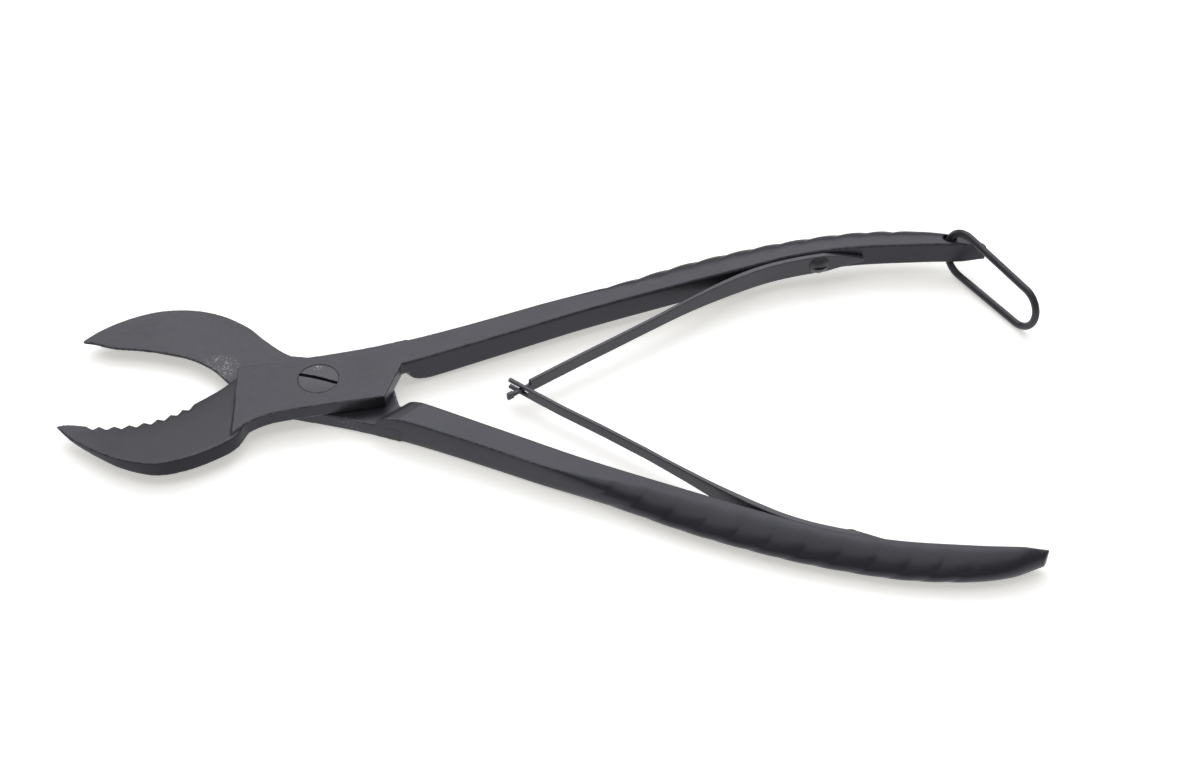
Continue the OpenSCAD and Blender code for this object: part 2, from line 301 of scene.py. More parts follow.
def skin(obj, voxel, rounds, faces, reach, cut=None):
    """Remeshes a sharp solid as one even skin whose corners are slightly worn.

    voxel is the skin's fineness, rounds how often it is smoothed, faces its most triangles.
    Stores how far each point stands out of its surroundings, as wear that also stands in for a painted
    highlight, or lies below them, as painted shade in hollows, with reach as the size of those surroundings.
    cut is a shape that is cut out crisply afterwards.
    """
    remesh = obj.modifiers.new("skin", "REMESH")
    remesh.mode = "VOXEL"
    remesh.voxel_size = voxel
    settle(obj)
    mesh = obj.data
    edges = neighbours(mesh)
    even = spread(read_points(mesh), edges, rounds)
    write_points(mesh, even)
    height = ((even - spread(even, edges, reach)) * read_normals(mesh)).sum(1)
    height /= np.percentile(np.abs(height), RELIEF_SHARE) + 1e-9
    if cut:
        carve(obj, cut)
    count = sum(len(p.vertices) - 2 for p in obj.data.polygons)
    if count > faces:
        thin = obj.modifiers.new("thin", "DECIMATE")
        thin.ratio = faces / count
        settle(obj)
    nearest = KDTree(len(even))
    for i, p in enumerate(even):
        nearest.insert(p, i)
    nearest.balance()
    height = height[[nearest.find(p)[1] for p in read_points(obj.data)]]
    # Standing edges: wear, partly a painted highlight. Hollows: painted shade, which darkens the colour.
    store(obj.data, "wear_and_sheen", np.clip(height, 0, 1))
    store(obj.data, "painted_shade", np.clip(-height, 0, 1))


def scaled(obj):
    """Turns a mesh in millimetres into metres."""
    obj.data.transform(Matrix.Scale(MM, 4))
    obj.data.update()


def finish_piece(obj, body, node, material):
    """Gives a piece its finish, hides the CAD node that it stands for, and hangs it on the body that it rides
    on.
    """
    obj.data.materials.clear()
    obj.data.materials.append(material)
    obj.data.polygons.foreach_set("use_smooth", [True] * len(obj.data.polygons))
    obj.data.set_sharp_from_angle(angle=math.radians(SHARP_ANGLE))
    if body:
        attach(obj, body)
    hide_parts(node)


# The forgings. Each half is drawn closed, with the pivot at the origin and its handle along X.

HANDLE_INNER = [
    (8, -0.8), (22, 0.8), (40, 4.0), (60, 7.7), (80, 10.6), (98, 12.9),
    (112, 14.4), (126, 13.8), (140, 11.4), (149, 9.5), (155.8, 7.9),
]
HANDLE_OUTER = [
    (8, 7.0), (22, 7.7), (41, 10.5), (62, 14.3), (83, 18.9), (101, 21.0),
    (115, 21.4), (129, 20.6), (141, 18.1), (149, 14.8), (155.2, 10.2),
]
SERRATED_OUTER = [
    (-10, -7.2), (-15, -8.4), (-19, -13.3), (-23.5, -15.6), (-30, -17.3),
    (-36.5, -17.1), (-43, -13.5), (-48, -8.7), (-52.3, -3.7), (-55.2, 1.1),
]
SERRATED_INNER = [
    (-10, 7.2), (-16, 7.4), (-20.5, 4.5), (-25.5, 1.9), (-30.5, -0.2),
    (-36, -1.5), (-42, -1.4), (-48, -0.2), (-52.6, 1.4), (-55.3, 1.7),
]
SMOOTH_OUTER = [
    (-5, -7.6), (-11, -8.8), (-17, -11.7), (-22, -14.6), (-29, -16.7),
    (-36, -16.7), (-43, -14.5), (-49, -10.2), (-53.2, -5.4), (-55.5, -1.4),
]
SMOOTH_INNER = [
    (-5, 7.0), (-13, 6.6), (-19.5, 3.1), (-24.5, 0.0), (-30, -1.8),
    (-36, -2.2), (-42, -1.8), (-48, -0.9), (-52.7, -1.1), (-55.1, -0.8),
]
# Half heights, and where along X the bar thins to the grip, the grip to the tail, and the tail drops off.
HANDLE_H, GRIP_H, TAIL_H = 3.3, 3.0, 2.85
BAR_TO_GRIP, GRIP_TO_TAIL, TAIL_END = (15, 62), (118, 146), (150, 156)
TAIL_DROP = 0.3
HANDLE_STEPS, ARC_STEPS = 420, 30
FLUTE_PITCH, FLUTE_DEPTH, FLUTE_LEAN = 6.9, 0.6, 1.6
FLUTES_BEGIN, FLUTES_END = (60, 68), (136, 143)
FLUTE_SHARP, FLUTE_FADE = 0.7, 0.3
# Height over the section, from -1 to 1, where the flutes begin and are full; their share on the other face.
FLUTE_EDGE, FLUTE_BACK = (0.05, 0.5), 0.3
# Where the bar's square corners become the grip's round face, and where that face has its last form.
SQUARE_TO_ROUND, FIRST_TO_LAST = (48, 78), (76, 98)
INNER_CHAMFER, GRIP_CHAMFER = 0.25, 0.3
CORNER_R, CORNER_POWER = 0.4, 0.6
# Roundness of a grip face: share of the width at the grip's start and end, and the curve's power.
SOFT_FACE = (0.62, 0.66, 0.88)
GROUND_FACE = (0.68, 0.82, 1.12)
# The waist of the lap plate, from the jaw to the handle, for each half.
SERRATED_WAIST = [(-10, -7.85), (-5, -7.8), (4.5, -8.1)]
SMOOTH_WAIST = [(-10, -8.3), (-6, -8.85), (-2, -8.8), (4.5, -8.3)]


def plate_outline(waist):
    """The lap plate in plan: its front edge, waist, rear edge and the far side along the handle."""
    return (
        [(-16.3, 7.5), (-17.4, 1.5), (-18.3, -4.0), (-19.9, -12.0)]
        + bend((-19.9, -12.0), (-15.6, -8.2), waist[0], 10)
        + waist[1:] + [(12.9, -8.5), (18.1, 0.4)]
        + bend((18.1, 0.4), (19.4, 4.0), (20.5, 7.65), 6)
        + bend((16, 7.1), (2, 6.7), (-16.3, 7.5), 10)[:-1]
    )


def handle_half(x):
    """Half height of the handle at x."""
    height = mix(mix(HANDLE_H, GRIP_H, ease(*BAR_TO_GRIP, x)), TAIL_H, ease(*GRIP_TO_TAIL, x))
    return height * (1 - TAIL_DROP * ease(*TAIL_END, x))


def flute(x, z, depth):
    """How deep the flutes lie at a place on the grip: leaning grooves with crests between them."""
    share = ease(*FLUTES_BEGIN, x) * (1 - ease(*FLUTES_END, x))
    wave = abs(math.sin(math.pi * (x + FLUTE_LEAN * z) / FLUTE_PITCH))
    return depth * share * (1 - wave ** FLUTE_SHARP)


def flute_depth(s, q):
    """Depth over the section: deepest above the wall's middle, shallow on the other face."""
    return FLUTE_DEPTH * q ** FLUTE_FADE * mix(FLUTE_BACK, 1.0, ease(*FLUTE_EDGE, s))


def handle_ring(t, up_face, down_face, fluted):
    """The handle's section at t: a chamfered inner face and a D-shaped outer one, with its flutes."""
    a, b = along(HANDLE_INNER, t), along(HANDLE_OUTER, t)
    w = np.linalg.norm(b - a)
    out, x, h = (b - a) / w, a[0], handle_half(a[0])
    to_round, to_last = ease(*SQUARE_TO_ROUND, x), ease(*FIRST_TO_LAST, x)
    c = mix(INNER_CHAMFER, GRIP_CHAMFER, to_round)
    ring = [(*(a + out * c), -h), (*a, -h + c), (*a, h - c), (*(a + out * c), h)]
    for k in range(ARC_STEPS + 1):
        u = math.pi / 2 - math.pi * k / ARC_STEPS
        s, q = math.sin(u), max(math.cos(u), 0.0)
        first, last, power = up_face if s > 0 else down_face
        r = mix(CORNER_R, mix(first, last, to_last) * w, to_round)
        power = mix(CORNER_POWER, power, to_round)
        z = h * math.copysign(abs(s) ** power, s)
        n = w - r + r * q ** power - flute(x, z, flute_depth(s * fluted, q))
        ring.append((*(a + out * n), z))
    return ring


def handle_bar(up_face, down_face, fluted):
    """The whole handle, from beside the pivot to its tail."""
    last = len(HANDLE_INNER) - 1
    stations = [last * i / HANDLE_STEPS for i in range(HANDLE_STEPS + 1)]
    return loft([handle_ring(t, up_face, down_face, fluted) for t in stations])


# The shoulder's line in plan, and its rounded lower edge: (back from that line, height).
SHOULDER_A, SHOULDER_B = np.array([19.9, 0.2]), np.array([14.3, 8.0])
SHOULDER_ROUND = [
    (0, -0.9), (-0.4, -1.6), (-1.1, -2.3), (-2.2, -2.8), (-3.8, -3.15), (-5, -3.35), (-5.5, -FAR),
]


def below_shoulder():
    """The room in front of and under the shoulder, whose lower edge is rounded off."""
    out = SHOULDER_B - SHOULDER_A
    outline = [(FAR, LAP_FACE), (0, LAP_FACE)] + SHOULDER_ROUND + [(FAR, -FAR)]
    place = (shift(SHOULDER_A[0], SHOULDER_A[1], 0) @ turn(math.degrees(math.atan2(out[1], out[0])), "Z")
             @ turn(90, "Z") @ turn(90, "X"))
    return moved(prism(outline, -FAR / 2, FAR / 2), place)


TEETH, TOOTH_DEPTH, TOOTH_SHARE = 8, 1.0, 0.3
TOOTH_FROM, TOOTH_TO = 3.23, 7.25
JAW_LAST = len(SERRATED_OUTER) - 1
# Heights of the spine at its root and at the tip, and of the edge; where along the jaw the spine thins.
SPINE_H, TIP_H, EDGE_H, THINNING = 3.0, 0.65, 0.6, (4.4, JAW_LAST)
# Width of the outer bevel at the root, in the middle and at the tip, and where it changes.
BEVEL_W, BEVEL_GROWS, BEVEL_THINS = (0.8, 1.15, 0.3), (0.5, 3.5), (4.2, 7.6)
LAND_W, LAND_RISE, FACE_CROWN = 1.7, 0.14, 0.93
# In a small section, the most that the edge takes of the height, and the bevel and land take of the width.
EDGE_SHARE, BEVEL_SHARE, LAND_SHARE = 0.8, 0.4, 0.45
FACE_STEPS, BEVEL_STEPS = (0.2, 0.4, 0.6, 0.8, 1.0), (0.66, 0.33)


def notch(t, toothed):
    """Depth of the teeth at t along the jaw."""
    if not toothed or t < TOOTH_FROM or t > TOOTH_TO:
        return 0.0
    p = (t - TOOTH_FROM) / (TOOTH_TO - TOOTH_FROM) * TEETH
    return TOOTH_DEPTH * (1 - abs(2 * (p - math.floor(p)) - 1))


def jaw_ring(t, inner, outer, toothed):
    """The jaw's section at t: the edge, a narrow land, a face that rises to the spine, and the bevel."""
    a0, b = along(inner, t), along(outer, t)
    w = np.linalg.norm(b - a0)
    out = (b - a0) / w
    cut = min(notch(t, toothed), TOOTH_SHARE * w)
    h = mix(SPINE_H, TIP_H, ease(*THINNING, t))
    e = min(EDGE_H, h * EDGE_SHARE)
    root, middle, tip = BEVEL_W
    bevel = mix(mix(root, middle, ease(*BEVEL_GROWS, t)), tip, ease(*BEVEL_THINS, t))
    bevel = min(bevel, w * BEVEL_SHARE)
    run = w - bevel
    land = min(LAND_W, run * LAND_SHARE)
    at = [(cut, LAP_FACE), (cut, e), (land, mix(e, h, LAND_RISE))]
    for f in FACE_STEPS:
        at.append((mix(land, run, f), mix(e, h, LAND_RISE + (1 - LAND_RISE) * f ** FACE_CROWN)))
    at += [(w - f * bevel, f * h) for f in BEVEL_STEPS] + [(w, LAP_FACE)]
    return [(*(a0 + out * n), z) for n, z in at]


def jaw(inner, outer, toothed):
    """One jaw, with its sections closest together where the teeth are."""
    root, middle, tip = 24, 160 if toothed else 60, 12
    stations = [TOOTH_FROM * i / root for i in range(root)]
    stations += [mix(TOOTH_FROM, TOOTH_TO, i / middle) for i in range(middle)]
    stations += [mix(TOOTH_TO, JAW_LAST, i / tip) for i in range(tip + 1)]
    return loft([jaw_ring(t, inner, outer, toothed) for t in stations])


PIVOT_D, HEAD_D, HEAD_H, CLEAR = 4.9, 8.7, 1.6, 0.04
COUNTERBORE_GAP = 0.05
# The spring screws: their place along the handle's inner face, and how far their foot stands out of it.
STUD_T, STUD_LEN, STUD_D, FOOT = 6.36, 3.2, 2.0, 0.5
STUD_GAP, STUD_HOLE_PAST = 0.02, 0.2


def stud_place():
    """The foot of the spring screw on the handle's inner face, Z into the handle."""
    at = along(HANDLE_INNER, STUD_T)
    ahead = along(HANDLE_INNER, STUD_T + 0.1) - along(HANDLE_INNER, STUD_T - 0.1)
    angle = math.degrees(math.atan2(ahead[1], ahead[0]))
    return shift(at[0], at[1], 0) @ turn(angle, "Z") @ turn(-90, "X") @ shift(0, 0, -FOOT)


def forging(name, inner, outer, toothed, down_face, fluted, waist):
    """One half in its own plan. The flutes are deepest on the side that fluted gives: 1 is up, -1 is down."""
    half = mesh_object(name, handle_bar(SOFT_FACE, down_face, fluted))
    carve(half, below_shoulder())
    carve(half, prism(plate_outline(waist), LAP_FACE, LAP_T), "UNION")
    carve(half, jaw(inner, outer, toothed), "UNION")
    carve(half, moved(cylinder(STUD_D / 2 + STUD_GAP, 0, STUD_LEN + STUD_HOLE_PAST), stud_place()))
    carve(half, cylinder(PIVOT_D / 2 + CLEAR, -1, LAP_T + 1))
    return half


# The ring's hole and its mouths, which open out like cones.
RING_HOLE = (148.2, 12.4)
RING_HOLE_R, MOUTH_R, MOUTH_DEPTH = 1.5, 2.4, 1.1
TOP_MOUTH_R, TOP_MOUTH_DEPTH = 1.8, 0.4


def ring_hole_cut(half):
    """The upright hole through the tail, with its worn-open mouths."""
    at = shift(*RING_HOLE, 0)
    carve(half, moved(cylinder(RING_HOLE_R, -FAR, FAR), at))
    low = cone(2 * MOUTH_R - RING_HOLE_R, RING_HOLE_R, -TAIL_H - MOUTH_DEPTH, -TAIL_H + MOUTH_DEPTH)
    high = cone(RING_HOLE_R, 2 * TOP_MOUTH_R - RING_HOLE_R,
                TAIL_H - TOP_MOUTH_DEPTH, TAIL_H + TOP_MOUTH_DEPTH)
    for mouth in (low, high):
        carve(half, moved(mouth, at))


# What skin takes: voxel, smoothing rounds, most triangles, reach of the wear, the painted highlight and the
# painted shade.
HALF_SKIN = (0.2, 2, 190000, 14)


def make_serrated_half(material):
    """The forging on top, with the screw's counterbore and the ring's hole."""
    half = forging("serrated_forging", SERRATED_INNER, SERRATED_OUTER, True, SOFT_FACE, 1, SERRATED_WAIST)
    ring_hole_cut(half)
    counterbore = cylinder(HEAD_D / 2 + COUNTERBORE_GAP, LAP_T - HEAD_H - CLEAR, LAP_T + 1)
    skin(half, *HALF_SKIN, counterbore)
    half.data.transform(upper_place())
    scaled(half)
    finish_piece(half, "serrated_lever", "serrated_half", material)


def make_smooth_half(material):
    """The forging below, whose grip shows its more rounded face."""
    half = forging("smooth_forging", SMOOTH_INNER, SMOOTH_OUTER, False, GROUND_FACE, -1, SMOOTH_WAIST)
    skin(half, *HALF_SKIN)
    half.data.transform(lower_place())
    scaled(half)
    finish_piece(half, "smooth_lever", "smooth_half", material)


# Leaf springs

LEAF_T, LEAF_ROOT_T, LEAF_ROOT_H, NECK_H = 0.9, 1.3, 5.0, 0.9
UPPER_TIP_H, LOWER_TIP_H = 3.2, 2.7
# Where along X the strip grows taller and thicker towards its root, and where the root's point begins.
LEAF_TALLER, LEAF_THICKER = (72, 104), (80, 100)
POINT_FROM, POINT_LEN, POINT_H = 118.5, 9, 0.4
# How far each strip is bent off its plain line: (distance from the pivot, away from the handle).
UPPER_BOWS = [(36, -0.5), (50, -0.5), (58, -0.42), (66, -0.2), (76, 0)]
LOWER_BOWS = [(46, 0), (52, 0.1), (62, 0.7), (72, 1.05), (82, 1.0), (92, 0.6), (102, 0.12), (108, 0)]
# Where the strip leaves the handle and where it ends, as places along the handle's inner face.
LEAF_GAP, LEAF_LEAVE, LEAF_END = 0.03, 5.68, 7.12
# The crossing of the two strips, a strip's slope there, and how far it runs on.
LEAF_TIP, LEAF_SLOPE, LEAF_BEYOND = np.array([42.9, -10.45]), 22.5, 4.4
ROOT_REACH, TIP_REACH = 14, 38
ON_HANDLE_STEPS, FREE_STEPS = 30, 140
CROSS_H, CROSS_W, NECK_BACK = 1.65, 1.5, 1.4
FORK_SLOT_H, FORK_SLOT_BACK = 1.1, 1.1
LEAF_CORNER, CORNER_STEPS = 0.16, 5
LEAF_HOLE_GAP, LEAF_HOLE_SIDES = 0.1, 32
# A cutter at the tip reaches this far beyond the end and to each side of the strip.
TIP_PAST, TIP_SIDE = 8, 2
LEAF_SKIN = (0.13, 1, 90000, 8)


def leaf_on_handle(t):
    """The strip's middle line where it lies along the handle's inner face."""
    u = unit(along(HANDLE_INNER, t + 0.05) - along(HANDLE_INNER, t - 0.05))
    return along(HANDLE_INNER, t) + np.array([u[1], -u[0]]) * (LEAF_T / 2 + LEAF_GAP)


def leaf_line():
    """The strip's middle line in plan: along the handle first, then out to the tip."""
    start = leaf_on_handle(LEAF_LEAVE)
    slope = math.radians(LEAF_SLOPE)
    ahead = np.array([math.cos(slope), math.sin(slope)])
    c1 = start + ROOT_REACH * unit(start - leaf_on_handle(LEAF_LEAVE + 0.2))
    c2 = LEAF_TIP + TIP_REACH * ahead
    line = [leaf_on_handle(mix(LEAF_END, LEAF_LEAVE, i / ON_HANDLE_STEPS)) for i in range(ON_HANDLE_STEPS)]
    for i in range(FREE_STEPS + 1):
        t = i / FREE_STEPS
        line.append((1 - t) ** 3 * start + 3 * (1 - t) ** 2 * t * c1
                    + 3 * (1 - t) * t * t * c2 + t ** 3 * LEAF_TIP)
    return line + [LEAF_TIP - LEAF_BEYOND * ahead * f for f in (0.25, 0.5, 0.75, 1.0)]


def leaf_half(x, tip_h):
    """Half height of the strip at x: a pointed root and a slimmer free length."""
    if x > POINT_FROM:
        return mix(LEAF_ROOT_H / 2, POINT_H, (x - POINT_FROM) / POINT_LEN)
    return mix(tip_h, LEAF_ROOT_H, ease(*LEAF_TALLER, x)) / 2


def leaf_ring(centre, ahead, h, bow):
    """The strip's section; bow is how far it stands off its plain line, away from the handle."""
    side = np.array([-ahead[1], ahead[0]])
    thick = mix(LEAF_T, LEAF_ROOT_T, ease(*LEAF_THICKER, centre[0]))
    centre = centre + side * (bow + (thick - LEAF_T) / 2)
    ring = []
    for sx, sz, start in ((1, -1, -90), (1, 1, 0), (-1, 1, 90), (-1, -1, 180)):
        for k in range(CORNER_STEPS):
            a = math.radians(start + 90 / (CORNER_STEPS - 1) * k)
            n = sx * (thick / 2 - LEAF_CORNER) + LEAF_CORNER * math.cos(a)
            z = sz * (h - LEAF_CORNER) + LEAF_CORNER * math.sin(a)
            ring.append((*(centre + side * n), z))
    return ring


def leaf_strip(name, tip_h, bows):
    """A whole strip with the hole for its screw, before its tip is cut."""
    line = leaf_line()
    last = len(line) - 1
    rings = []
    for i, p in enumerate(line):
        ahead = unit(line[min(i + 1, last)] - line[max(i - 1, 0)])
        bow = float(np.interp(p[0], *zip(*bows)))
        rings.append(leaf_ring(p, ahead, leaf_half(p[0], tip_h), bow))
    leaf = mesh_object(name, loft(rings))
    carve(leaf, moved(cylinder(STUD_D / 2 + LEAF_HOLE_GAP, -3, 3, LEAF_HOLE_SIDES), stud_place()))
    return leaf


def at_tip(bow=0.0):
    """The strip's end in plan, X along it and Y away from the handle."""
    return shift(LEAF_TIP[0], LEAF_TIP[1], 0) @ turn(180 + LEAF_SLOPE, "Z") @ shift(0, bow, 0)


def finish_leaf(leaf, place, node, material):
    """Skins a strip, puts it on its handle and gives it its finish, on no body of its own."""
    skin(leaf, *LEAF_SKIN)
    leaf.data.transform(place)
    scaled(leaf)
    finish_piece(leaf, None, node, material)
    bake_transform(leaf)


def make_upper_leaf(material):
    """The strip whose end is a neck with a cross head."""
    leaf = leaf_strip("necked_leaf", UPPER_TIP_H, UPPER_BOWS)
    end = at_tip(UPPER_BOWS[0][1])
    for side in (-1, 1):
        low, high = sorted((side * NECK_H / 2, side * LEAF_ROOT_H))
        carve(leaf, moved(box((-NECK_BACK, -TIP_SIDE, low), (TIP_PAST, TIP_SIDE, high)), end))
    head = box((LEAF_BEYOND - CROSS_W, -LEAF_T / 2, -CROSS_H / 2), (LEAF_BEYOND, LEAF_T / 2, CROSS_H / 2))
    carve(leaf, moved(head, end), "UNION")
    finish_leaf(leaf, upper_place(), "upper_leaf_spring", material)


def make_lower_leaf(material):
    """The strip whose end is a fork."""
    leaf = leaf_strip("forked_leaf", LOWER_TIP_H, LOWER_BOWS)
    slot = box((-FORK_SLOT_BACK, -TIP_SIDE, -FORK_SLOT_H / 2), (TIP_PAST, TIP_SIDE, FORK_SLOT_H / 2))
    carve(leaf, moved(slot, at_tip()))
    finish_leaf(leaf, lower_place(), "lower_leaf_spring", material)


# Screws

SLOT_W, SLOT_DEPTH, SLOT_DIRECTION = 0.85, 0.7, -17
SHANK_CHAMFER = 0.16
# The pivot head's rounded rim as (in from the side, down from the top), and its slight crown.
HEAD_RIM = [(0, 0.1), (0.06, 0.02)]
HEAD_CROWN, CROWN_STEPS = 0.25, (0.95, 0.8, 0.6, 0.4, 0.2)
SCREW_SKIN = (0.07, 1, 110000, 12)
STUD_HEAD_D, STUD_HEAD_H = 4.9, 1.3
STUD_SLOT_W, STUD_SLOT_DEPTH = 0.7, 0.6
STUD_CHAMFER, STUD_SHORT = (0.2, 0.25), 0.02
DOME_STEPS = (0.15, 0.3, 0.45, 0.6, 0.75, 0.87, 0.96)
STUD_SKIN = (0.06, 1, 50000, 10)


def make_pivot_screw(material):
    """The slotted screw that the halves turn on, its head in the upper lap's counterbore."""
    top, r, shank = 2 * LAP_T, HEAD_D / 2, PIVOT_D / 2
    profile = [(0, 0), (shank - SHANK_CHAMFER, 0), (shank, SHANK_CHAMFER),
               (shank, top - HEAD_H), (r, top - HEAD_H)]
    profile += [(r - side, top - down) for side, down in HEAD_RIM]
    profile += [(r * f, top + HEAD_CROWN * (1 - f * f)) for f in CROWN_STEPS]
    screw = mesh_object("slotted_screw", turned(profile + [(0, top + HEAD_CROWN)]))
    slot = box((-r - 1, -SLOT_W / 2, top - SLOT_DEPTH), (r + 1, SLOT_W / 2, top + 2))
    carve(screw, moved(slot, turn(SLOT_DIRECTION, "Z")))
    skin(screw, *SCREW_SKIN)
    scaled(screw)
    finish_piece(screw, "smooth_lever", "pivot_screw", material)


def stud_shape():
    """The spring screw with its dome towards -Z and its shank towards +Z, and the height of its crown."""
    r, shank, end = STUD_HEAD_D / 2, STUD_D / 2, STUD_LEN - STUD_SHORT
    seat = FOOT - LEAF_ROOT_T - 3 * LEAF_GAP
    dome = (r * r + STUD_HEAD_H ** 2) / (2 * STUD_HEAD_H)
    crown = seat - STUD_HEAD_H
    arc = [r * f for f in DOME_STEPS]
    profile = [(0, crown)] + [(x, crown + dome - math.sqrt(dome * dome - x * x)) for x in arc]
    side, back = STUD_CHAMFER
    profile += [(r, seat), (shank, seat), (shank, STUD_LEN - back), (shank - side, end), (0, end)]
    return turned(profile), crown


def make_stud(name, place, body, node, material):
    """A slotted round-head screw that holds a strip's root to its handle."""
    shape, crown = stud_shape()
    stud = mesh_object(name, shape)
    r = STUD_HEAD_D / 2 + 1
    carve(stud, box((-r, -STUD_SLOT_W / 2, crown - 1), (r, STUD_SLOT_W / 2, crown + STUD_SLOT_DEPTH)))
    skin(stud, *STUD_SKIN)
    stud.data.transform(place @ stud_place())
    scaled(stud)
    finish_piece(stud, body, node, material)


# Locking ring

WIRE_D, RING_R, RING_FAR_R, RING_LEN = 1.7, 5.6, 4.9, 19.0
# How the ring lies: its direction in plan, its slopes, and where its wire sits in the hole.
RING_DIRECTION, RING_PITCH, RING_LEAN, RING_GRIP, RING_BACK = -56, 2.1, -6, 8, 0.25
WIRE_STEPS, NEAR_STEPS, FAR_STEPS, SIDE_STEPS = 40, 120, 104, 60
# The drawn wire's slight waves: (size, angle for each step, start), its mean size and its section's twist.
WIRE_WAVES, WIRE_SIZE, WIRE_TWIST = ((0.006, 0.37, 0.0), (0.004, 0.91, 1.3)), 0.99, 0.05
# The stretch of wire that the hole has rubbed, as steps along the wire.
RUBBED_AT, RUBBED_OVER = 60, 22.0


def ring_path():
    """Points and outward directions of the wire's centre line, round the whole ring."""
    taper = math.asin((RING_R - RING_FAR_R) / RING_LEN)
    near, far = [], []
    for k in range(NEAR_STEPS + 1):
        a = math.pi / 2 - taper + (math.pi + 2 * taper) * k / NEAR_STEPS
        near.append((RING_R * math.cos(a), RING_R * math.sin(a), a))
    for k in range(FAR_STEPS + 1):
        a = taper - math.pi / 2 + (math.pi - 2 * taper) * k / FAR_STEPS
        far.append((RING_LEN + RING_FAR_R * math.cos(a), RING_FAR_R * math.sin(a), a))
    path = []
    for arc, (x, y, _), a in ((near, far[0], near[-1][2]), (far, near[0], near[0][2])):
        path += arc
        for t in (k / SIDE_STEPS for k in range(1, SIDE_STEPS)):
            path.append((mix(arc[-1][0], x, t), mix(arc[-1][1], y, t), a))
    return path


def ring_shape():
    """The closed wire in its own plane."""
    verts, faces = [], []
    path = ring_path()
    n = len(path)
    for i, (x, y, a) in enumerate(path):
        wave = sum(size * math.sin(i * often + start) for size, often, start in WIRE_WAVES)
        for k in range(WIRE_STEPS):
            u = 2 * math.pi * k / WIRE_STEPS
            r = WIRE_D / 2 * (WIRE_SIZE + wave * math.cos(2 * u + i * WIRE_TWIST))
            out = r * math.cos(u)
            verts.append((x + out * math.cos(a), y + out * math.sin(a), r * math.sin(u)))
    for i in range(n):
        for k in range(WIRE_STEPS):
            nxt, up = (i + 1) % n * WIRE_STEPS, (k + 1) % WIRE_STEPS
            faces.append((i * WIRE_STEPS + k, i * WIRE_STEPS + up, nxt + up, nxt + k))
    return verts, faces


def ring_place():
    """From the ring's own plane to where it hangs in the far handle's tail."""
    grip = math.radians(RING_GRIP)
    return (upper_place() @ shift(*RING_HOLE, 0) @ turn(RING_DIRECTION - HALF_ANGLE, "Z")
            @ turn(RING_PITCH, "Y") @ turn(90 + RING_LEAN, "X")
            @ shift(RING_R * math.cos(grip) - RING_BACK, RING_R * math.sin(grip), 0))


def make_ring(material):
    """The wire ring, rubbed where it runs through its hole."""
    ring = mesh_object("wire_ring", moved(ring_shape(), ring_place()))
    count = len(ring.data.vertices)
    step = np.arange(count) // WIRE_STEPS
    store(ring.data, "wear_and_sheen", np.exp(-((step - RUBBED_AT) / RUBBED_OVER) ** 2))
    store(ring.data, "painted_shade", np.zeros(count))
    scaled(ring)
    finish_piece(ring, "ring", "locking_ring", material)


# Materials. Colours are linear and lengths are in metres.

METALLIC = 0.2
GLOSS_IOR = 1.52
GLOSS_TINT = (0.90, 0.91, 1.0, 1)
FORGED_COLOURS = (0.030, 0.030, 0.037, 1), (0.038, 0.038, 0.046, 1)
STRIP_COLOURS = (0.058, 0.058, 0.066, 1), (0.076, 0.076, 0.085, 1)
SCREW_COLOURS = (0.040, 0.040, 0.044, 1), (0.060, 0.060, 0.064, 1)
WIRE_COLOURS = (0.034, 0.034, 0.040, 1), (0.050, 0.050, 0.057, 1)
# Lighter colours of standing edges: worn metal that also stands in for a painted highlight; the wire's is for
# its rubbed stretch.
STEEL_WEAR_AND_SHEEN, SCREW_WEAR_AND_SHEEN, WORN_WIRE = (0.14, 0.14, 0.15, 1), (0.30, 0.30, 0.30, 1), (0.22, 0.22, 0.22, 1)
# Colour of the bright flecks: worn metal, and painted glints and highlight.
GLINT_FLECK = (0.42, 0.42, 0.43, 1)
# How many features a metre each noise has.
CLOUDS, MOTTLES, GRAINS, FLECKS = 60.0, 900.0, 7000.0, 2600.0
PIT_DEPTH, PIT_STRENGTH = 0.00003, 0.5
# Places painted with fine bright flecks, partly worn metal and partly painted glints: centre, radius,
# strength.
FORGING_RUBS_AND_GLINTS = [
    ((-0.0222, 0.0066, 0.0033), 0.0052, 0.75),
    ((0.0060, -0.0096, 0.0033), 0.0042, 0.3),
    ((0.0177, -0.0012, 0.0033), 0.0030, 0.7),
]
# The far half of the pivot screw's head, lightened with flecks as a painted highlight.
SCREW_HEAD_HIGHLIGHT = [((-0.0006, 0.0036, 0.0067), 0.0016, 1.0)]


